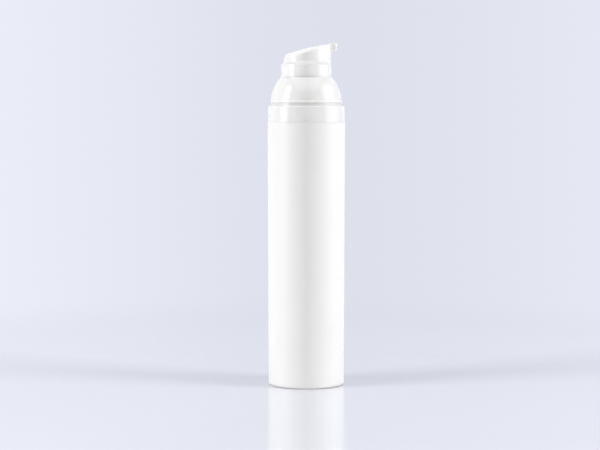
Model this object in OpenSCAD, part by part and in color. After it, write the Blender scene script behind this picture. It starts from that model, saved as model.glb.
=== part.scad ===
// Airless pump bottle with a beaked push button, in millimetres.
// The origin is the centre of the foot, Z runs up the axis and the beak points along X.

/* [Body tube] */
// outside diameter at the top of the body
body_d = 38; // [35:0.5:46]
// height of the body up to the seam
body_h = 129.2; // [110:0.2:150]
// how much smaller the foot is across than the top
body_draft = 0.8; // [0:0.1:1.4]
// wall at the top of the tube
body_wall = 2.1; // [1.9:0.1:3]
// rounding of the foot edge
foot_round = 0.8; // [0.3:0.1:1.1]
// how far the lip at the seam stands proud
lip_proud = 0.07; // [0.02:0.01:0.2]

/* [Shoulder ring] */
// height of the glossy band above the seam
band_h = 7.95; // [7:0.05:12]
// how much the radius of the band falls towards its top
band_taper = 0.13; // [0:0.01:0.4]
// wall of the band at the seam
band_wall = 1.2; // [1:0.05:1.5]
// width of the ledge that an overcap rests on
ledge_w = 1.67; // [1.4:0.01:2.6]
// rounding of the ledge edge
ledge_round = 0.45; // [0.2:0.05:0.8]
// height of the narrow neck above the ledge
seat_h = 1.1; // [0.8:0.1:2]

/* [Dome collar] */
// how far the cap bead stands out from the narrow neck
bead_proud = 0.39; // [0.15:0.01:0.6]
// height of the cap bead
bead_h = 1.07; // [0.8:0.01:1.6]
// height of the dome above the bead
dome_h = 11.24; // [9:0.02:15]
// radius of the dome's outline
dome_arc = 18; // [14:0.5:30]
// wall of the dome
dome_wall = 1.3; // [1:0.05:1.8]

/* [Head] */
// outside diameter of the band that goes into the dome
skirt_d = 24.58; // [23:0.02:26]
// height of the band that shows above the dome
skirt_show = 6.47; // [6.4:0.01:9]
// gap between the band and the dome opening
skirt_gap = 0.36; // [0.3:0.01:0.6]
// how far the upper shell stands inside the band
shell_inset = 1.29; // [0.9:0.01:1.8]
// height of the hollow flare at the foot of the upper shell
flare_h = 2.85; // [2:0.05:4]
// height of the crown over the seam of the head, on the axis
crown_h = 8.05; // [7.6:0.05:11]
// slope of the crown towards the beak, in degrees
crown_slope = 13.8; // [8:0.1:15]
// radius of the crown across the head
crown_across = 25; // [18:1:60]
// radius of the crown along the beak
crown_along = 95; // [70:5:300]
// edge rounding at the sides of the crown
edge_side = 0.7; // [0.4:0.05:1]
// edge rounding at the back of the crown
edge_back = 1.9; // [1:0.1:2.5]
// width of the beak
beak_w = 7.5; // [6.6:0.1:9]
// reach of the beak from the axis
beak_reach = 15.14; // [14.6:0.02:17]
// height of the beak's underside over the seam of the head
beak_under = 6.75; // [6.4:0.05:7.2]
// hollow radius under the beak
beak_fillet = 3; // [2:0.1:3.6]
// hollow radius where each flat cheek runs into the beak
cheek_fillet = 4; // [2:0.25:5]
// wall of the upper shell
shell_wall = 1.3; // [1:0.05:1.6]

/* [Mouth] */
// width of the mouthpiece
mouth_w = 5.8; // [4.4:0.1:6.2]
// height of the mouthpiece
mouth_h = 2.2; // [1.9:0.05:2.4]
// how far the mouthpiece is set back from the tip
mouth_set = 0.35; // [0.1:0.05:0.8]
// diameter of the outlet hole
orifice_d = 1.5; // [0.8:0.1:1.7]

/* [Pump] */
// travel of the head
press_travel = 6; // [4:0.1:6]
// diameter of the pump cylinder
chamber_d = 10.4; // [9:0.1:12]
// outside diameter of the stem
stem_d = 5.2; // [4.8:0.1:6]
// radial clearance of the sliding fits
slide_gap = 0.05; // [0.02:0.01:0.08]
// lost motion of the piston on the stem, which opens the outlet
slip_travel = 0.8; // [0.4:0.1:1]
// diameter of the inlet ball
ball_d = 3.2; // [2.8:0.1:3.4]
// lift of the inlet ball
ball_lift = 0.8; // [0.4:0.1:0.9]
// diameter of the spring wire
wire_d = 0.8; // [0.6:0.05:0.9]
// mean diameter of the spring
coil_d = 9.4; // [9.2:0.1:11]
// turns of the spring
coil_turns = 6; // [4:1:6]

/* [Follower and foot] */
// height of the follower piston
follower_h = 16; // [12:0.5:22]
// depth of the well that clears the pump cylinder
well_d = 14.4; // [8:0.2:14.4]
// diameter of the vent hole in the foot
vent_d = 2; // [1:0.1:3]
// number of stiffening ribs on the foot plate
foot_ribs = 6; // [3:1:12]

/* [Hidden] */
fine = 96;
eps = 0.01;

// body tube and neck
body_r = body_d / 2;
foot_r = body_r - body_draft / 2;
bore_r = body_r - body_wall;
neck_r = body_r - band_wall;
neck_h = 4.2;
neck_top = body_h + neck_h;
lip_h = 0.9;
snap_h = 0.8;
snap_proud = 0.25;
snap_z = body_h + neck_h / 2;

// foot plate
plate_seat = 3.2;
plate_step = 0.3;
plate_r = bore_r + plate_step;
plate_t = 1.2;
plate_rise = 1;
plate_ring_r = 0.6 * bore_r;
plate_rim = 0.2;
ring_over = 0.4;
rib_z = plate_rise + plate_t / 2;
rib_t = 1;

// seals and the pump flange, stacked on the neck
gasket_t = 0.8;
flange_t = 1.4;
flange_z = neck_top + gasket_t;
flange_top = flange_z + flange_t;
flange_gap = 0.2;
flange_r = neck_r - flange_gap;

// shoulder ring
ledge_z = body_h + band_h;
seat_r = body_r - ledge_w;
seat_top = ledge_z + seat_h;
seat_wall_t = 1.03;
spigot_r = seat_r - seat_wall_t;
spigot_wall = 1.1;
seam_bevel = 0.12;

// dome collar
groove_in = 0.12;
groove_r = seat_r - groove_in;
groove_h = 0.42;
bead_z = seat_top + groove_h;
bead_r = seat_r + bead_proud;
dome_z = bead_z + bead_h;
dome_top = dome_z + dome_h;
dome_proud = 0.07;
dome_foot = seat_r + dome_proud;
skirt_r = skirt_d / 2;
open_r = skirt_r + skirt_gap;
open_flat = 0.2;
dome_edge = open_r + open_flat;
dome_chord = norm([dome_foot - dome_edge, dome_h]);
dome_mid = [(dome_foot + dome_edge) / 2, dome_z + dome_h / 2];
dome_sag = sqrt(dome_arc * dome_arc - dome_chord * dome_chord / 4);
dome_c = dome_mid - dome_sag * [dome_h, dome_foot - dome_edge] / dome_chord;

// head
head_z = dome_top + skirt_show;
skirt_hide = 5.4;
skirt_wall = 1.2;
skirt_in = skirt_r - skirt_wall;
skirt_bevel = 0.25;
skirt_stop = 1;
skirt_stop_w = 1.1;
spigot_drop = 1.45;
shell_r = skirt_r - shell_inset;
flare_step = 0.24;
flare_w = shell_inset - flare_step;
flare_arc = (flare_h * flare_h + flare_w * flare_w) / (2 * flare_w);
column_in = 0.17;
column_r = skirt_r - column_in;
under_z = head_z + beak_under;
tip_round = 0.5;
cheek_back = 2.24;
rib_low = 2.4;
boss_low = 1.2;
crown_skin = 0.3;
front_h = 12;
front_over = 0.3;

// pump cylinder and its valve, hung from the flange
chamber_r = chamber_d / 2;
chamber_wall = 1.2;
cyl_r = chamber_r + chamber_wall;
cyl_top = flange_top + 3;
bush_plug = 1.4;
stop_gap = 0.4;
slip_clear = 0.3;
piston_top = cyl_top - bush_plug - slip_travel - slip_clear - 0.1;
sleeve_h = 3.4;
web_t = 1.2;
web_z = piston_top - sleeve_h - web_t;
foot_t = 1.1;
face_gap = 0.05;
rod_foot = web_z - face_gap - foot_t;
floor_gap = 0.6;
floor_top = rod_foot - press_travel - floor_gap;
floor_t = 1;
ball_r = ball_d / 2;
ball_gap = 0.05;
cage_r = ball_r + 0.55;
ball_top_gap = 0.15;
ball_z = floor_top - floor_t - ball_top_gap - ball_lift - ball_r;
cone_apex = ball_z - (ball_r + ball_gap) * sqrt(2);
inlet_r = 0.62 * ball_r;
inlet_land = 0.8;
seat_bottom = cone_apex + inlet_r - inlet_land;
seat_plug_r = cage_r + 1.1;
seat_plug_top = ball_z + 0.2;
seat_wall = 1.3;

// guide bush, stem and spring
bush_t = 1.2;
bush_r = cyl_r + 1.8;
bush_skirt = 1.4;
bush_top = cyl_top + bush_t;
stem_r = stem_d / 2;
stem_bore = stem_r - 1.1;
tower_wall = 0.95;
tower_r = stem_r + slide_gap + tower_wall;
tower_h = 3.4;
wiper_h = 1.2;
wiper_w = 0.55;
spring_len = 14.2;
collar_z = bush_top + spring_len;
collar_t = 1.2;
collar_r = coil_d / 2 + wire_d + 0.5;
socket_gap = 0.2;
stem_end = web_z + web_t + slip_travel;
rod_neck = stem_r - 0.7;
flute_w = 0.9;

// flow elbow inside the head
elbow_z = collar_z + collar_t + socket_gap;
post_r = stem_r + 1.4;
stem_top = elbow_z + 3.2;
pipe_r = 1.3;
pipe_bore = 0.8;
pipe_cover = 0.35;
pipe_low = crown_h - shell_wall - pipe_r - pipe_cover;
mouth_rise = 8.55;
mouth_z = head_z + mouth_rise;
pipe_z = head_z + pipe_low;
mouth_deep = 2;
mouth_x = beak_reach - mouth_set;
mouth_back = mouth_x - mouth_deep;
pipe_rise = atan((mouth_z - pipe_z) / mouth_x);
post_top = pipe_z + 1;

// follower piston
lip_t = 0.7;
lip_len = 2.4;
follower_wall = 1.3;
waist_r = bore_r - 0.7;
well_r = cyl_r + 1;
rest_gap = 0.3;
follower_z = plate_seat + ring_over + rest_gap;
floor_web = 1.4;
well_over = max(0, follower_h - floor_web - well_d);
follower_rise = seat_bottom - stop_gap - floor_web - follower_z - well_over;
swept_ml = PI * bore_r * bore_r * follower_rise / 1000;
dose_ml = PI * chamber_r * chamber_r * (press_travel - slip_travel) / 1000;
echo(follower_rise = follower_rise, swept_ml = swept_ml, dose_ml = dose_ml);

// points on an arc in a profile, from angle a0 to a1
function arc(c, r, a0, a1, n) =
    [for (i = [0:n]) c + r * [cos(a0 + (a1 - a0) * i / n), sin(a0 + (a1 - a0) * i / n)]];
// angle of a point seen from a centre
function bearing(p, c) = atan2(p[1] - c[1], p[0] - c[0]);

module spin(points) {
    rotate_extrude($fn = fine) polygon(points);
}

module tube(r_out, r_in, z0, z1) {
    spin([[r_in, z0], [r_out, z0], [r_out, z1], [r_in, z1]]);
}

// body tube with its draft, foot rounding, seam lip and snap bead
module bottle() {
    color([0.93, 0.93, 0.94]) spin(concat(
        [[plate_r, 0]],
        arc([foot_r - foot_round, foot_round], foot_round, -90, 0, 8),
        [[body_r, body_h - lip_h]],
        [[body_r + lip_proud, body_h - lip_h / 2]],
        [[body_r + lip_proud, body_h - seam_bevel]],
        [[body_r + lip_proud - seam_bevel, body_h]],
        [[neck_r, body_h]],
        [[neck_r, snap_z - snap_h]],
        [[neck_r + snap_proud, snap_z - snap_h / 4]],
        [[neck_r + snap_proud, snap_z + snap_h / 4]],
        [[neck_r, snap_z + snap_h]],
        [[neck_r, neck_top]],
        [[bore_r, neck_top]],
        [[bore_r, plate_seat]],
        [[plate_r, plate_seat]]));
}

// foot plate pressed in against the step of the bore, ribbed on its inner face
module base_plate() {
    color([0.90, 0.90, 0.91]) {
        difference() {
            union() {
                tube(plate_r, plate_r - plate_t, plate_rise - plate_rim, plate_seat);
                translate([0, 0, plate_rise])
                    cylinder(r = plate_r - plate_t / 2, h = plate_t, $fn = fine);
                tube(plate_ring_r + rib_t / 2, plate_ring_r - rib_t / 2, rib_z, plate_seat + ring_over);
                for (i = [0:foot_ribs - 1]) {
                    rotate([0, 0, 360 * i / foot_ribs]) translate([vent_d, -rib_t / 2, rib_z])
                        cube([plate_ring_r - vent_d, rib_t, plate_seat - rib_z]);
                }
            }
            cylinder(d = vent_d, h = plate_seat, $fn = fine);
        }
    }
}

// follower piston: crown, well that clears the cylinder, and two lips against the bore
module follower_piston() {
    top = follower_z + follower_h;
    lip_r = bore_r - slide_gap;
    color([0.86, 0.88, 0.90]) spin([
        [0, top - well_d - floor_web],
        [well_r + follower_wall, top - well_d - floor_web],
        [well_r + follower_wall, top - floor_web],
        [waist_r - follower_wall, top - floor_web],
        [waist_r - follower_wall, follower_z + lip_len],
        [lip_r - lip_t, follower_z],
        [lip_r, follower_z],
        [lip_r, follower_z + lip_t],
        [waist_r, follower_z + lip_len + lip_t],
        [waist_r, top - lip_len],
        [lip_r, top - lip_t],
        [lip_r, top],
        [well_r, top],
        [well_r, top - well_d],
        [0, top - well_d]]);
}

module neck_gasket() {
    color([0.55, 0.57, 0.60]) tube(flange_r, bore_r - body_wall / 2, neck_top, flange_z);
}

// glossy band pressed over the neck, with the ledge and the narrow neck above it
module shoulder_ring() {
    band_top_r = body_r - band_taper;
    color([0.95, 0.95, 0.96]) spin(concat(
        [[neck_r, body_h]],
        [[body_r - seam_bevel, body_h]],
        [[body_r, body_h + seam_bevel]],
        arc([band_top_r - ledge_round, ledge_z - ledge_round], ledge_round, 0, 90, 6),
        [[seat_r, ledge_z]],
        [[seat_r, seat_top]],
        [[spigot_r, seat_top]],
        [[spigot_r, flange_top]],
        [[neck_r, flange_top]],
        [[neck_r, snap_z + snap_h]],
        [[neck_r + snap_proud, snap_z + snap_h / 4]],
        [[neck_r + snap_proud, snap_z - snap_h / 4]],
        [[neck_r, snap_z - snap_h]]));
}

// dome with the cap bead, its spigot holds the pump flange down
module dome_collar() {
    a_foot = bearing([dome_foot, dome_z], dome_c);
    a_edge = bearing([dome_edge, dome_top], dome_c);
    arc_in = dome_arc - dome_wall;
    a_in = acos((open_r - dome_c[0]) / arc_in);
    color([0.95, 0.95, 0.96]) spin(concat(
        [[spigot_r - spigot_wall, flange_top]],
        [[spigot_r, flange_top]],
        [[spigot_r, seat_top]],
        [[groove_r, seat_top]],
        [[groove_r, bead_z]],
        [[bead_r - bead_h / 3, bead_z]],
        arc([bead_r - bead_h / 2, bead_z + bead_h / 2], bead_h / 2, -70, 50, 6),
        arc(dome_c, dome_arc, a_foot, a_edge, 40),
        [[open_r, dome_top]],
        arc(dome_c, arc_in, a_in, a_foot, 30),
        [[spigot_r - spigot_wall, dome_z - bead_h]]));
}

// flange, gussets and cylinder, with the port that the inlet ball lifts against
module pump_housing() {
    gusset_h = 1.2;
    gusset_t = 1;
    port_r = 0.75 * ball_r;
    slot_w = 1;
    color([0.88, 0.89, 0.90]) {
        difference() {
            union() {
                tube(flange_r, chamber_r, flange_z, flange_top);
                tube(cyl_r, chamber_r, floor_top - floor_t, cyl_top);
                tube(seat_plug_r + seat_wall, seat_plug_r, seat_bottom, seat_plug_top);
                tube(seat_plug_r + seat_wall, cage_r, seat_plug_top, floor_top - floor_t);
                translate([0, 0, floor_top - floor_t]) cylinder(r = cyl_r, h = floor_t, $fn = fine);
                for (i = [0:7]) {
                    rotate([0, 0, 45 * i]) translate([cyl_r - chamber_wall / 2, -gusset_t / 2, flange_top - eps])
                        cube([spigot_r - spigot_wall - cyl_r, gusset_t, gusset_h]);
                }
            }
            translate([0, 0, floor_top - 2 * floor_t]) cylinder(r = port_r, h = 3 * floor_t, $fn = fine);
            for (i = [0:2]) {
                rotate([0, 0, 120 * i]) translate([0, -slot_w / 2, floor_top - 2 * floor_t])
                    cube([cage_r, slot_w, 3 * floor_t]);
            }
        }
    }
}

// conical seat of the inlet ball, pressed into the foot of the housing
module inlet_seat() {
    color([0.80, 0.83, 0.86]) spin([
        [inlet_r, seat_bottom],
        [seat_plug_r, seat_bottom],
        [seat_plug_r, seat_plug_top],
        [min(cage_r, seat_plug_top - cone_apex), seat_plug_top],
        [inlet_r, cone_apex + inlet_r]]);
}

module inlet_ball() {
    color([0.75, 0.76, 0.78]) translate([0, 0, ball_z]) sphere(r = ball_r, $fn = fine);
}

// closes the cylinder, guides the stem and seats the spring
module guide_bush() {
    guide_r = stem_r + slide_gap;
    color([0.84, 0.86, 0.88]) spin([
        [guide_r, cyl_top - bush_plug],
        [chamber_r, cyl_top - bush_plug],
        [chamber_r, cyl_top],
        [cyl_r, cyl_top],
        [cyl_r, cyl_top - bush_skirt],
        [bush_r - 0.6, cyl_top - bush_skirt],
        [bush_r, cyl_top],
        [bush_r, bush_top],
        [tower_r, bush_top],
        [tower_r, bush_top + tower_h],
        [guide_r + wiper_w, bush_top + tower_h],
        [guide_r + wiper_w, bush_top + tower_h - wiper_h],
        [guide_r, bush_top + tower_h - wiper_h]]);
}

module stem_wiper() {
    color([0.45, 0.47, 0.50]) tube(stem_r + slide_gap + wiper_w, stem_r + slide_gap / 2,
        bush_top + tower_h - wiper_h, bush_top + tower_h);
}

// hollow stem with the collar that the spring lifts
module stem() {
    color([0.90, 0.91, 0.92]) spin([
        [stem_bore, stem_end],
        [stem_r, stem_end],
        [stem_r, collar_z],
        [collar_r, collar_z],
        [collar_r, collar_z + collar_t],
        [stem_r, collar_z + collar_t],
        [stem_r, stem_top],
        [stem_bore, stem_top]]);
}

// rod pressed into the stem: flutes carry the product past it, its foot closes the piston
module piston_rod() {
    rod_top = stem_end + 5;
    foot_r2 = stem_r + 1;
    color([0.78, 0.81, 0.84]) {
        difference() {
            spin([
                [0, rod_foot],
                [foot_r2, rod_foot],
                [foot_r2, rod_foot + foot_t],
                [rod_neck, rod_foot + foot_t],
                [rod_neck, stem_end],
                [stem_bore, stem_end],
                [stem_bore, rod_top],
                [0, rod_top]]);
            for (i = [0:2]) {
                rotate([0, 0, 120 * i]) translate([stem_bore / 2, -flute_w / 2, web_z + web_t / 2])
                    cube([stem_r, flute_w, rod_top]);
            }
        }
    }
}

// sliding piston: two lips on the cylinder, a sleeve on the stem and the web that seals on the rod
module stem_piston() {
    lip_r = chamber_r - slide_gap;
    core_r = stem_r + slide_gap + 0.8;
    skin = 0.7;
    color([0.70, 0.74, 0.78]) spin([
        [rod_neck + 0.5, web_z],
        [lip_r - skin, web_z],
        [lip_r - skin / 2, web_z - 0.5],
        [lip_r, web_z - 0.5],
        [lip_r, web_z + 0.4],
        [lip_r - skin / 2, web_z + web_t],
        [lip_r - skin / 2, piston_top - web_t],
        [lip_r, piston_top - 0.4],
        [lip_r, piston_top],
        [lip_r - skin, piston_top],
        [lip_r - 1.4 * skin, web_z + web_t + 0.6],
        [core_r, web_z + web_t + 0.6],
        [core_r, piston_top],
        [stem_r + slide_gap, piston_top],
        [stem_r + slide_gap, web_z + web_t],
        [rod_neck + 0.5, web_z + web_t]]);
}

// spring wire swept along a helix whose end turns lie closer
spring_steps = 8;
spring_sides = 6;
end_pitch = wire_d + 0.5;
spring_rise = spring_len - wire_d - 0.1;
mid_pitch = (spring_rise - 2 * end_pitch) / (coil_turns - 2);
function spring_z(t) =
    t < 1 ? end_pitch * t
    : t > coil_turns - 1 ? spring_rise - end_pitch * (coil_turns - t)
    : end_pitch + mid_pitch * (t - 1);
function spring_pt(t) = [coil_d / 2 * cos(360 * t), coil_d / 2 * sin(360 * t),
    bush_top + wire_d / 2 + 0.05 + spring_z(t)];
spring_rings = coil_turns * spring_steps;
spring_self = end_pitch - wire_d;
echo(least_gap_between_spring_turns = spring_self);

module return_spring() {
    pts = [for (k = [0:spring_rings]) let (t = k / spring_steps, p = spring_pt(t))
        for (j = [0:spring_sides - 1]) let (a = 360 * j / spring_sides)
            p + wire_d / 2 * [cos(a) * cos(360 * t), cos(a) * sin(360 * t), sin(a)]];
    faces = concat(
        [for (k = [0:spring_rings - 1]) for (j = [0:spring_sides - 1])
            let (b = k * spring_sides, n = (j + 1) % spring_sides)
            [b + j, b + spring_sides + j, b + spring_sides + n]],
        [for (k = [0:spring_rings - 1]) for (j = [0:spring_sides - 1])
            let (b = k * spring_sides, n = (j + 1) % spring_sides)
            [b + j, b + spring_sides + n, b + n]],
        [for (j = [1:spring_sides - 2]) [0, j, j + 1]],
        [for (j = [1:spring_sides - 2])
            let (b = spring_rings * spring_sides)
            [b, b + j + 1, b + j]]);
    color([0.62, 0.63, 0.65]) polyhedron(pts, faces);
}

// socket on the stem and the sloping pipe to the mouth
module flow_elbow() {
    color([0.88, 0.86, 0.78]) {
        difference() {
            union() {
                translate([0, 0, elbow_z]) cylinder(r = post_r, h = post_top - elbow_z, $fn = fine);
                translate([0, 0, pipe_z]) rotate([0, 90 - pipe_rise, 0])
                    cylinder(r = pipe_r, h = mouth_back / cos(pipe_rise) - eps, $fn = fine);
            }
            translate([0, 0, elbow_z - 1])
                cylinder(r = stem_r + slide_gap / 2, h = stem_top + 1.2 - elbow_z, $fn = fine);
            translate([0, 0, elbow_z]) cylinder(r = stem_bore, h = pipe_z - elbow_z, $fn = fine);
            translate([0, 0, pipe_z]) rotate([0, 90 - pipe_rise, 0])
                cylinder(r = pipe_bore, h = 2 * beak_reach, $fn = fine);
            translate([mouth_back, -beak_w / 2, pipe_z]) cube([beak_reach, beak_w, beak_reach]);
        }
    }
}

// plan outline of the upper shell: round back, two flat cheeks, and the beak
cheek_end = [beak_reach - cheek_back, beak_w / 2];
cheek_a = bearing(cheek_end, [0, 0]) + acos(shell_r / norm(cheek_end));
corner = [(shell_r - beak_w / 2 * sin(cheek_a)) / cos(cheek_a), beak_w / 2];
cheek_run = cheek_fillet * tan((90 - cheek_a) / 2);
cheek_start = corner + cheek_run * [-sin(cheek_a), cos(cheek_a)];
cheek_c = cheek_start + cheek_fillet * [cos(cheek_a), sin(cheek_a)];
tip_c = [beak_reach - edge_side, beak_w / 2 - edge_side];
cheek_touch = shell_r * [cos(cheek_a), sin(cheek_a)];
half_plan = concat(
    [for (k = [0:2]) [beak_reach, tip_c[1] * k / 3]],
    arc(tip_c, edge_side, 0, 90, 3),
    [[(tip_c[0] + cheek_c[0]) / 2, beak_w / 2]],
    arc(cheek_c, cheek_fillet, 270, 180 + cheek_a, 5),
    [for (k = [1:3]) cheek_start + (cheek_touch - cheek_start) * k / 4],
    [for (k = [0:20]) let (a = cheek_a + (180 - cheek_a) * k / 20) shell_r * [cos(a), sin(a)]]);
half_n = len(half_plan);
plan = concat(half_plan, [for (k = [1:half_n - 2]) let (p = half_plan[half_n - 1 - k]) [p[0], -p[1]]]);
plan_n = len(plan);
function outward(i) =
    let (d = plan[(i + 1) % plan_n] - plan[(i + plan_n - 1) % plan_n])
    [d[1], -d[0]] / norm(d);

// height of the crown over a point of the plan
function crown(p) = head_z + crown_h + p[0] * tan(crown_slope)
    - p[0] * p[0] / (2 * crown_along) - p[1] * p[1] / (2 * crown_across);
function edge_at(p) = edge_side + (edge_back - edge_side) * pow(max(0, -p[0] / shell_r), 2);
function flare_at(h) = h >= flare_h ? 0 : flare_arc - sqrt(flare_arc * flare_arc - pow(flare_h - h, 2));

// rings of the loft: hollow flare, wall, edge rounding, then the crown drawn in to the axis
flare_n = 5;
edge_n = 5;
crown_n = 6;
function flare_ring(k) = [for (i = [0:plan_n - 1])
    let (h = (flare_h - 0.1) * k / flare_n, p = plan[i] + flare_at(h) * outward(i))
    [p[0], p[1], head_z + h]];
function edge_ring(k) = [for (i = [0:plan_n - 1])
    let (a = 90 * k / edge_n, e = edge_at(plan[i]), p = plan[i] - e * (1 - cos(a)) * outward(i))
    [p[0], p[1], crown(p) - e * (1 - sin(a))]];
function crown_ring(k) = [for (i = [0:plan_n - 1])
    let (p = (plan[i] - edge_at(plan[i]) * outward(i)) * (1 - k / crown_n))
    [p[0], p[1], crown(p)]];

module shell_loft() {
    rings = concat(
        [for (k = [0:flare_n]) flare_ring(k)],
        [for (k = [0:edge_n]) edge_ring(k)],
        [for (k = [1:crown_n - 1]) crown_ring(k)]);
    n = plan_n;
    m = len(rings);
    pts = concat([for (r = rings) for (p = r) p], [[0, 0, head_z], [0, 0, crown([0, 0])]]);
    faces = concat(
        [for (k = [0:m - 2]) for (i = [0:n - 1])
            let (j = (i + 1) % n)
            [k * n + i, (k + 1) * n + i, (k + 1) * n + j]],
        [for (k = [0:m - 2]) for (i = [0:n - 1])
            let (j = (i + 1) % n)
            [k * n + i, (k + 1) * n + j, k * n + j]],
        [for (i = [0:n - 1]) [m * n, i, (i + 1) % n]],
        [for (i = [0:n - 1]) let (b = (m - 1) * n) [m * n + 1, b + (i + 1) % n, b + i]]);
    polyhedron(pts, faces);
}

// front of the head turned about the axis: column, hollow under the beak, rounded tip
module head_front() {
    lip_z = under_z + tip_round;
    front_r = beak_reach + front_over;
    spin(concat(
        [[0, head_z - 1]],
        [[column_r, head_z - 1]],
        arc([column_r + beak_fillet, under_z - beak_fillet], beak_fillet, 180, 90, 12),
        arc([front_r - tip_round, lip_z], tip_round, -90, 0, 6),
        [[front_r, head_z + front_h]],
        [[0, head_z + front_h]]));
}

// rounded rectangle of the mouth, from x0 to x1
module mouth_block(w, h, x0, x1) {
    r = 0.45 * h;
    translate([x0, 0, mouth_z]) rotate([90, 0, 90]) linear_extrude(height = x1 - x0) {
        square([w - 2 * r, h], center = true);
        square([w, h - 2 * r], center = true);
        for (sx = [-1, 1]) {
            for (sy = [-1, 1]) {
                translate([sx * (w / 2 - r), sy * (h / 2 - r)]) circle(r = r, $fn = 48);
            }
        }
    }
}

// upper shell: lofted teardrop with a hollow underside, a spigot for the band and the beak
module button() {
    boss_r = post_r + 1;
    hollow_r = crown_across - shell_wall;
    hollow_z = head_z + crown_h - shell_wall - crown_skin - hollow_r * cos(crown_slope);
    color([0.95, 0.95, 0.96]) {
        difference() {
            union() {
                resize([0, 0, 0]) intersection() {
                    shell_loft();
                    head_front();
                }
                translate([0, 0, head_z - spigot_drop])
                    cylinder(r = skirt_in, h = spigot_drop + 0.3, $fn = fine);
            }
            difference() {
                intersection() {
                    translate([0, 0, head_z - 2])
                        cylinder(r = skirt_in - skirt_stop_w, h = crown_h + 2, $fn = fine);
                    translate([hollow_r * sin(crown_slope), 0, hollow_z])
                        sphere(r = hollow_r, $fn = fine);
                }
                translate([0, 0, head_z + boss_low])
                    cylinder(r = boss_r, h = crown_h, $fn = fine);
                for (i = [0:3]) {
                    rotate([0, 0, 45 + 90 * i]) translate([0, -rib_t / 2, head_z + rib_low])
                        cube([shell_r, rib_t, crown_h]);
                }
            }
            translate([0, 0, head_z - 1])
                cylinder(r = post_r, h = post_top + 1 - head_z, $fn = fine);
            translate([0, 0, pipe_z]) rotate([0, 90 - pipe_rise, 0])
                cylinder(r = pipe_r, h = mouth_x, $fn = fine);
            mouth_block(mouth_w, mouth_h, mouth_back, beak_reach + 1);
        }
    }
}

// lower band of the head, with the step that the spigot of the shell stands on
module button_skirt() {
    low = dome_top - skirt_hide;
    color([0.95, 0.95, 0.96]) spin([
        [skirt_in, low],
        [skirt_r, low],
        [skirt_r, head_z - skirt_bevel],
        [skirt_r - skirt_bevel, head_z],
        [skirt_in, head_z],
        [skirt_in, head_z - spigot_drop],
        [skirt_in - skirt_stop_w, head_z - spigot_drop],
        [skirt_in - skirt_stop_w, head_z - spigot_drop - skirt_stop],
        [skirt_in, head_z - spigot_drop - 2 * skirt_stop]]);
}

// mouthpiece set back inside the tip
module nozzle_insert() {
    color([0.93, 0.90, 0.78]) {
        difference() {
            mouth_block(mouth_w, mouth_h, mouth_back, mouth_x);
            translate([mouth_back - 1, 0, mouth_z]) rotate([0, 90, 0])
                cylinder(d = orifice_d, h = mouth_deep + 2, $fn = fine);
        }
    }
}

bottle();
base_plate();
follower_piston();
neck_gasket();
shoulder_ring();
dome_collar();
pump_housing();
inlet_seat();
inlet_ball();
guide_bush();
stem_wiper();
stem();
piston_rod();
stem_piston();
return_spring();
flow_elbow();
button();
button_skirt();
nozzle_insert();
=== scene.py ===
import math
import bpy
from mathutils import Matrix, Vector

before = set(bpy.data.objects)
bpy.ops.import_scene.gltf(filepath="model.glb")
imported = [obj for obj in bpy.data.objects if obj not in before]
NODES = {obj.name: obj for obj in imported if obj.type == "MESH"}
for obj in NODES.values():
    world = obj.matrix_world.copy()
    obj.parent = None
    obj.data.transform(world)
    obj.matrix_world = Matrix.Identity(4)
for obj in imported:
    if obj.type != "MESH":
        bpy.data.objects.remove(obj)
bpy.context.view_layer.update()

# Camera, fitted to the photograph, in metres and degrees

PHOTO_WIDTH_PIXELS = 600.0
FOCAL_PIXELS = 1700.0
SENSOR_MM = 36.0
# how far round the bottle the camera stands, towards the beak
CAMERA_ROUND = 6.0
CAMERA_LEFT = 0.0031
CAMERA_AWAY = 0.83564
CAMERA_UP = 0.13519
LOOK_DOWN = 3.87

# turns a place in the camera's own left and right into the frame
AZ = math.radians(CAMERA_ROUND)
TURN = Matrix.Rotation(AZ, 4, "Z")


# Node helpers

def new_material(name):
    mat = bpy.data.materials.new(name)
    mat.use_nodes = True
    tree = mat.node_tree
    tree.nodes.clear()
    return mat, tree


def add(tree, kind, **values):
    node = tree.nodes.new(kind)
    for key, value in values.items():
        setattr(node, key, value)
    return node


def set_inputs(node, **values):
    """Sets sockets by name, with _ for a space."""
    for key, value in values.items():
        node.inputs[key.replace("_", " ")].default_value = value


def noise(tree, coords, scale, detail=3.0, rough=0.5):
    n = add(tree, "ShaderNodeTexNoise")
    set_inputs(n, Scale=scale, Detail=detail, Roughness=rough)
    tree.links.new(coords, n.inputs["Vector"])
    return n.outputs["Fac"]


def ramp(tree, fac, stops):
    """A colour ramp through (position, colour) stops."""
    r = add(tree, "ShaderNodeValToRGB")
    elements = r.color_ramp.elements
    for element, (position, colour) in zip(elements, (stops[0], stops[-1])):
        element.position = position
        element.color = (*colour, 1)
    for position, colour in stops[1:-1]:
        elements.new(position).color = (*colour, 1)
    tree.links.new(fac, r.inputs["Fac"])
    return r.outputs["Color"]


def math_node(tree, operation, a, b):
    """One operation on two values, each a number or a socket."""
    n = add(tree, "ShaderNodeMath", operation=operation)
    for socket, value in ((n.inputs[0], a), (n.inputs[1], b)):
        if isinstance(value, (int, float)):
            socket.default_value = value
        else:
            tree.links.new(value, socket)
    return n.outputs[0]


def bump(tree, height, distance, under=None):
    """The normal after a relief of this depth, laid over the relief that is already there."""
    b = add(tree, "ShaderNodeBump")
    set_inputs(b, Strength=1.0, Distance=distance)
    tree.links.new(height, b.inputs["Height"])
    if under is not None:
        tree.links.new(under, b.inputs["Normal"])
    return b.outputs["Normal"]


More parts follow.
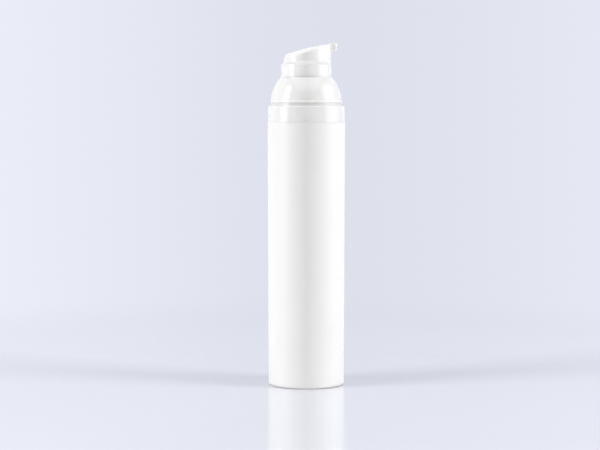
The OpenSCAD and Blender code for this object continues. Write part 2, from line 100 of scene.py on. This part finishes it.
def seen_rays(tree):
    """1 for what the camera sees, straight or in a reflection, and 0 for the light on other things."""
    path = add(tree, "ShaderNodeLightPath")
    glossy, through = path.outputs["Is Glossy Ray"], path.outputs["Is Transmission Ray"]
    mirrored = math_node(tree, "MAXIMUM", glossy, through)
    return math_node(tree, "MAXIMUM", path.outputs["Is Camera Ray"], mirrored)


def srgb(r, g, b):
    """Turns a screen colour of 0 to 255 into linear light."""
    def one(c):
        c /= 255.0
        return c / 12.92 if c <= 0.04045 else ((c + 0.055) / 1.055) ** 2.4
    return (one(r), one(g), one(b))


# Plastics and metal

# patches a metre, of the flow marks in the colour and of the changes in roughness
FLOW_SCALE = 55.0
CLOUD_SCALE = 210.0
# the share by which the roughness wanders
ROUGH_SPREAD = 0.12
# how far light spreads inside the plastic, in metres, and the share of each colour
SCATTER_DEPTH = 0.0012
SCATTER_COLOURS = (1.0, 0.95, 0.9)


def moulded(name, colour, rough, spread=0.02, coat=0.0, coat_rough=0.05, grain=0.0, grain_scale=9000.0,
            wave=0.0, wave_scale=120.0, subsurface=0.0, ior=1.49, metallic=0.0):
    """Moulded plastic: faint flow marks, roughness that wanders, fine grain and slow waviness."""
    mat, tree = new_material(name)
    out = add(tree, "ShaderNodeOutputMaterial")
    bsdf = add(tree, "ShaderNodeBsdfPrincipled")
    tree.links.new(bsdf.outputs["BSDF"], out.inputs["Surface"])
    coords = add(tree, "ShaderNodeTexCoord").outputs["Object"]

    flow = noise(tree, coords, FLOW_SCALE, 4.0, 0.55)
    low = tuple(c * (1 - spread) for c in colour)
    high = tuple(min(1.0, c * (1 + spread * 0.5)) for c in colour)
    tree.links.new(ramp(tree, flow, [(0.3, low), (0.5, colour), (0.72, high)]), bsdf.inputs["Base Color"])

    span = add(tree, "ShaderNodeMapRange")
    set_inputs(span, From_Min=0.25, From_Max=0.75,
               To_Min=rough * (1 - ROUGH_SPREAD), To_Max=rough * (1 + ROUGH_SPREAD))
    tree.links.new(noise(tree, coords, CLOUD_SCALE, 3.0, 0.6), span.inputs["Value"])
    tree.links.new(span.outputs["Result"], bsdf.inputs["Roughness"])

    normal = None
    if wave > 0:
        normal = bump(tree, noise(tree, coords, wave_scale, 2.0, 0.4), wave)
    if grain > 0:
        normal = bump(tree, noise(tree, coords, grain_scale, 2.0, 0.5), grain, normal)
    if normal is not None:
        tree.links.new(normal, bsdf.inputs["Normal"])

    set_inputs(bsdf, IOR=ior, Metallic=metallic, Coat_Weight=coat, Coat_Roughness=coat_rough)
    if subsurface > 0:
        set_inputs(bsdf, Subsurface_Weight=subsurface, Subsurface_Radius=SCATTER_COLOURS,
                   Subsurface_Scale=SCATTER_DEPTH)
    return mat


def polished(name, colour, rough, ior, coat):
    """Glossy white plastic that lets a little light in."""
    return moulded(name, colour, rough, spread=0.008, wave=2.0e-6, wave_scale=90.0, subsurface=0.35,
                   ior=ior, coat=coat)


HEAD_WHITE = srgb(242, 241.5, 239.3)
BAND_WHITE = srgb(239.5, 239, 237.7)
BODY_WHITE = srgb(239.5, 239, 238)

satin_white = moulded("satin_white", BODY_WHITE, 0.42, spread=0.012, grain=2.0e-6, grain_scale=5200.0,
                      wave=1.5e-5, wave_scale=38.0)
gloss_dome = polished("gloss_dome", HEAD_WHITE, 0.03, ior=1.58, coat=0.4)
gloss_band = polished("gloss_band", BAND_WHITE, 0.13, ior=1.55, coat=0.2)
gloss_button = polished("gloss_button", HEAD_WHITE, 0.05, ior=1.58, coat=0.4)
gloss_skirt = polished("gloss_skirt", HEAD_WHITE, 0.17, ior=1.55, coat=0.3)
cream_tip = moulded("cream_tip", srgb(244, 234, 200), 0.28, grain=1.0e-6)
natural = moulded("natural_plastic", srgb(226, 228, 228), 0.38, spread=0.03, grain=1.5e-6)
cream_inner = moulded("cream_inner", srgb(236, 228, 204), 0.36, spread=0.03, grain=1.5e-6)
acetal = moulded("acetal_white", srgb(214, 219, 222), 0.30, spread=0.03, grain=1.0e-6)
soft_poly = moulded("soft_polyethylene", srgb(205, 211, 218), 0.50, spread=0.03, grain=2.0e-6)
foot_plate = moulded("foot_plate_white", srgb(228, 229, 231), 0.40, grain=2.0e-6)
seal_grey = moulded("seal_grey", srgb(150, 153, 158), 0.62, spread=0.06, grain=5.0e-6,
                    grain_scale=3000.0)
steel = moulded("spring_steel", srgb(176, 178, 182), 0.22, spread=0.05, metallic=1.0, grain=1.0e-6)

DRESSING = {
    "bottle": satin_white,
    "base_plate": foot_plate,
    "follower_piston": soft_poly,
    "neck_gasket": seal_grey,
    "shoulder_ring": gloss_band,
    "dome_collar": gloss_dome,
    "pump_housing": natural,
    "inlet_seat": acetal,
    "inlet_ball": steel,
    "guide_bush": acetal,
    "stem_wiper": seal_grey,
    "stem": acetal,
    "piston_rod": acetal,
    "stem_piston": soft_poly,
    "return_spring": steel,
    "flow_elbow": cream_inner,
    "button": gloss_button,
    "button_skirt": gloss_skirt,
    "nozzle_insert": cream_tip,
}


def dress(node, mat):
    """Puts one material on every slot of a node."""
    obj = NODES[node]
    if not obj.material_slots:
        obj.data.materials.append(mat)
    for slot in obj.material_slots:
        slot.material = mat


for node, material in DRESSING.items():
    dress(node, material)


# Shading of the button

# points closer than this are one point, in metres
WELD_DISTANCE = 1.0e-6
# an edge that turns by less than this shades as smooth, in degrees
SMOOTH_BELOW = 27


def even_shading(obj, degrees):
    """Joins the facets of a lofted surface and shades every edge under this angle as smooth."""
    tree = bpy.data.node_groups.new(obj.name + "_shading", "GeometryNodeTree")
    for direction in ("INPUT", "OUTPUT"):
        tree.interface.new_socket("Geometry", in_out=direction, socket_type="NodeSocketGeometry")
    start = add(tree, "NodeGroupInput")
    end = add(tree, "NodeGroupOutput")
    weld = add(tree, "GeometryNodeMergeByDistance")
    set_inputs(weld, Distance=WELD_DISTANCE)
    clear = add(tree, "GeometryNodeRemoveAttribute")
    set_inputs(clear, Name="custom_normal")
    angle = add(tree, "GeometryNodeInputMeshEdgeAngle")
    flat = add(tree, "FunctionNodeCompare", data_type="FLOAT", operation="LESS_THAN")
    set_inputs(flat, B=math.radians(degrees))
    tree.links.new(angle.outputs["Unsigned Angle"], flat.inputs["A"])
    faces = add(tree, "GeometryNodeSetShadeSmooth", domain="FACE")
    edges = add(tree, "GeometryNodeSetShadeSmooth", domain="EDGE")
    tree.links.new(flat.outputs["Result"], edges.inputs["Shade Smooth"])
    chain = (start, weld, clear, faces, edges, end)
    for a, b in zip(chain, chain[1:]):
        tree.links.new(a.outputs[0], b.inputs[0])
    obj.modifiers.new("even_shading", "NODES").node_group = tree
    obj.modifiers.new("weighted", "WEIGHTED_NORMAL").keep_sharp = True


even_shading(NODES["button"], SMOOTH_BELOW)


# Backdrop tone, shared by the floor and the world

# the tone from left to right: place across the picture, and colour
BACKDROP = [(0.05, srgb(235, 237, 248)), (0.28, srgb(229, 231, 243)), (0.42, srgb(224, 226, 238)),
            (0.58, srgb(222, 224, 236)), (0.75, srgb(225, 227, 239)), (0.95, srgb(230, 232, 244))]
# how fast the place across the picture grows with the slope to the side
PLACE_PER_SLOPE = 2.5
MIDDLE = 0.5


def backdrop_tone(tree, sideways, away, least):
    """The tone from how far to the side a point lies for its depth, the same in front and behind."""
    depth = math_node(tree, "MAXIMUM", math_node(tree, "ABSOLUTE", away, 0.0), least)
    slope = math_node(tree, "DIVIDE", sideways, depth)
    place = math_node(tree, "MULTIPLY_ADD", slope, PLACE_PER_SLOPE)
    place.node.inputs[2].default_value = MIDDLE
    return ramp(tree, place, BACKDROP)


# Floor

FLOOR_SIZE = 60.0
# what the camera sees of the floor, and what lights the object from it
FLOOR_SEEN = [(0.3, srgb(177, 179, 188)), (0.7, srgb(180, 182, 190))]
FLOOR_BOUNCE = srgb(186, 186, 186)
# between these distances from the object the floor turns into the backdrop, in metres
FADE_FROM = 0.20
FADE_TO = 0.42
# the least depth that the backdrop's tone is worked out for
FLOOR_LEAST_DEPTH = 0.6
# the colour sockets of a Mix node
MIX_A, MIX_B, MIX_RESULT = 6, 7, 2


def plane(name, size, turned):
    mesh = bpy.data.meshes.new(name)
    h = size / 2
    mesh.from_pydata([(-h, -h, 0), (h, -h, 0), (h, h, 0), (-h, h, 0)], [], [(0, 1, 2, 3)])
    obj = bpy.data.objects.new(name, mesh)
    obj.rotation_euler = (0, 0, turned)
    bpy.context.scene.collection.objects.link(obj)
    return obj


def floor_material():
    """A glossy pale floor that turns into the backdrop with distance."""
    mat, tree = new_material("floor_gloss")
    out = add(tree, "ShaderNodeOutputMaterial")
    coords = add(tree, "ShaderNodeTexCoord").outputs["Object"]
    split = add(tree, "ShaderNodeSeparateXYZ")
    tree.links.new(coords, split.inputs[0])
    seen = seen_rays(tree)

    tint = add(tree, "ShaderNodeMix", data_type="RGBA")
    tint.inputs[MIX_A].default_value = (*FLOOR_BOUNCE, 1)
    tree.links.new(seen, tint.inputs[0])
    tree.links.new(ramp(tree, noise(tree, coords, 6.0), FLOOR_SEEN), tint.inputs[MIX_B])
    lit = add(tree, "ShaderNodeBsdfPrincipled")
    tree.links.new(tint.outputs[MIX_RESULT], lit.inputs["Base Color"])
    set_inputs(lit, Roughness=0.09, IOR=1.65, Coat_Weight=0.5, Coat_Roughness=0.14, Coat_IOR=1.6)

    far = add(tree, "ShaderNodeEmission")
    away = math_node(tree, "ADD", split.outputs["Y"], CAMERA_AWAY)
    tone = backdrop_tone(tree, split.outputs["X"], away, FLOOR_LEAST_DEPTH)
    tree.links.new(tone, far.inputs["Color"])

    reach = add(tree, "ShaderNodeVectorMath", operation="LENGTH")
    tree.links.new(coords, reach.inputs[0])
    fade = add(tree, "ShaderNodeMapRange", interpolation_type="SMOOTHSTEP")
    set_inputs(fade, From_Min=FADE_FROM, From_Max=FADE_TO)
    tree.links.new(reach.outputs["Value"], fade.inputs["Value"])
    blend = add(tree, "ShaderNodeMixShader")
    tree.links.new(math_node(tree, "MULTIPLY", fade.outputs["Result"], seen), blend.inputs["Fac"])
    tree.links.new(lit.outputs["BSDF"], blend.inputs[1])
    tree.links.new(far.outputs["Emission"], blend.inputs[2])
    tree.links.new(blend.outputs["Shader"], out.inputs["Surface"])
    return mat


floor = plane("floor", FLOOR_SIZE, AZ)
floor.data.materials.append(floor_material())


# World

WORLD_FILL = 0.42
WORLD_LEAST_DEPTH = 0.05


def light_the_world():
    """An even white fill on the object; what the camera sees is the backdrop's tone instead."""
    world = bpy.data.worlds.new("studio")
    bpy.context.scene.world = world
    world.use_nodes = True
    tree = world.node_tree
    tree.nodes.clear()
    out = add(tree, "ShaderNodeOutputWorld")
    fill = add(tree, "ShaderNodeBackground")
    set_inputs(fill, Color=(1, 1, 1, 1), Strength=WORLD_FILL)

    shown = add(tree, "ShaderNodeBackground")
    set_inputs(shown, Strength=1.0)
    spun = add(tree, "ShaderNodeVectorRotate", rotation_type="Z_AXIS")
    set_inputs(spun, Angle=-AZ)
    tree.links.new(add(tree, "ShaderNodeTexCoord").outputs["Generated"], spun.inputs["Vector"])
    split = add(tree, "ShaderNodeSeparateXYZ")
    tree.links.new(spun.outputs["Vector"], split.inputs[0])
    tone = backdrop_tone(tree, split.outputs["X"], split.outputs["Y"], WORLD_LEAST_DEPTH)
    tree.links.new(tone, shown.inputs["Color"])

    blend = add(tree, "ShaderNodeMixShader")
    tree.links.new(seen_rays(tree), blend.inputs["Fac"])
    tree.links.new(fill.outputs["Background"], blend.inputs[1])
    tree.links.new(shown.outputs["Background"], blend.inputs[2])
    tree.links.new(blend.outputs["Shader"], out.inputs["Surface"])


light_the_world()


# Lamps, in metres, degrees and watts

def lamp(name, at, aim, width, height, power, diffuse=True, glossy=True):
    """A flat box of light, placed in the camera's left and right; with no diffuse it is a reflection."""
    data = bpy.data.lights.new(name, "AREA")
    data.shape = "RECTANGLE"
    data.size = width
    data.size_y = height
    data.energy = power
    obj = bpy.data.objects.new(name, data)
    obj.location = TURN @ Vector(at)
    obj.rotation_euler = (TURN @ Vector(aim) - obj.location).to_track_quat("-Z", "Y").to_euler()
    obj.visible_camera = False
    obj.visible_diffuse = diffuse
    obj.visible_glossy = glossy
    bpy.context.scene.collection.objects.link(obj)


def round_the_object(side, distance, z):
    """A place round the object; side is in degrees from the camera, + to the right."""
    a = math.radians(side)
    return (math.sin(a) * distance, -math.cos(a) * distance, z)


def box(name, side, distance, z, aim_z, width, height, power, **kinds):
    """A lamp round the object that faces its axis at height aim_z."""
    lamp(name, round_the_object(side, distance, z), (0, 0, aim_z), width, height, power, **kinds)


# the light on the object's two sides
for name, side in (("side_left", -88), ("side_right", 88)):
    box(name, side, distance=1.5, z=0.40, aim_z=0.08, width=0.30, height=0.60, power=11.0, glossy=False)
# the two bright uprights that the glossy plastic reflects
box("window_left", -70, distance=0.60, z=0.36, aim_z=0.36, width=0.255, height=0.72, power=1.45,
    diffuse=False)
box("window_right", 81, distance=0.60, z=0.34, aim_z=0.34, width=0.467, height=0.68, power=1.7,
    diffuse=False)
# light from above, and what the crown of the button reflects
lamp("box_top", (0, -0.22, 0.80), (0, 0, 0.08), width=0.9, height=0.9, power=2.6)
lamp("card_back", (0, 0.75, 0.75), (0, 0, 0.15), width=1.3, height=0.60, power=0.95, diffuse=False)
lamp("strip_top", (0, 0.22, 0.80), (0, 0, 0.15), width=0.9, height=0.44, power=1.4, diffuse=False)
# the soft light that comes back from a bright floor
lamp("glow_low", (0, 0, 0.0008), (0, 0, 1), width=0.6, height=0.6, power=0.37, glossy=False)
# the light on the floor, which leaves the two shadows
for name, side in (("floor_left", -68), ("floor_right", 71)):
    box(name, side, distance=2.0, z=1.10, aim_z=0.0, width=0.80, height=0.60, power=58, glossy=False)

NOT_ON_FLOOR = ("side_left", "side_right", "window_left", "window_right", "card_back", "strip_top")
ONLY_ON_FLOOR = ("floor_left", "floor_right")


def link_to_floor(state, names):
    """Makes these lamps leave out the floor (EXCLUDE) or light nothing but the floor (INCLUDE)."""
    group = bpy.data.collections.new("floor_" + state.lower())
    group.objects.link(floor)
    group.collection_objects[0].light_linking.link_state = state
    for name in names:
        bpy.data.objects[name].light_linking.receiver_collection = group


link_to_floor("EXCLUDE", NOT_ON_FLOOR)
link_to_floor("INCLUDE", ONLY_ON_FLOOR)


# Picture

cam_data = bpy.data.cameras.new("camera")
cam = bpy.data.objects.new("camera", cam_data)
bpy.context.scene.collection.objects.link(cam)
cam_data.sensor_fit = "HORIZONTAL"
cam_data.sensor_width = SENSOR_MM
cam_data.lens = FOCAL_PIXELS / PHOTO_WIDTH_PIXELS * SENSOR_MM
cam.location = TURN @ Vector((-CAMERA_LEFT, -CAMERA_AWAY, CAMERA_UP))
cam.rotation_euler = (math.radians(90 - LOOK_DOWN), 0, AZ)
bpy.context.scene.camera = cam
bpy.context.scene.view_settings.view_transform = "Standard"
